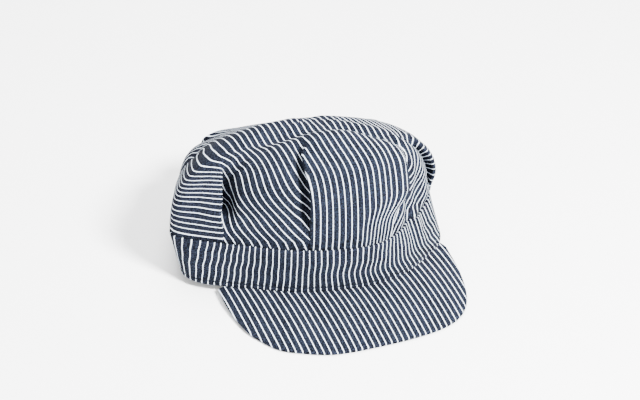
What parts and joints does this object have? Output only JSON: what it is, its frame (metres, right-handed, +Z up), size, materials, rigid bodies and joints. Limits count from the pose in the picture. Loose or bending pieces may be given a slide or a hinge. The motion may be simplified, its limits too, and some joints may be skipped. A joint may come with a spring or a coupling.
{
  "type": "railroad engineer cap",
  "caption": "Soft pleated cloth cap with a stand-up band and a flat rounded visor, in blue and white hickory stripe.",
  "frame": {"origin": "middle of the cap's plan outline, on the surface it rests on", "axes": "+X towards the wearer's left, -Y towards the visor and front, +Z up; the cap rests on z = 0 as it would by itself"},
  "size_m": [0.2218, 0.2294, 0.1159],
  "materials": {
    "hickory_stripe_crown": "matt woven cotton, blue and white stripe",
    "hickory_stripe_band": "matt woven cotton, blue and white stripe",
    "hickory_stripe_visor": "matt woven cotton over a stiff core, blue and white stripe"
  },
  "bodies": {
    "root": {"crown": "hickory_stripe_crown", "band": "hickory_stripe_band", "visor": "hickory_stripe_visor"}
  },
  "joints": []
}
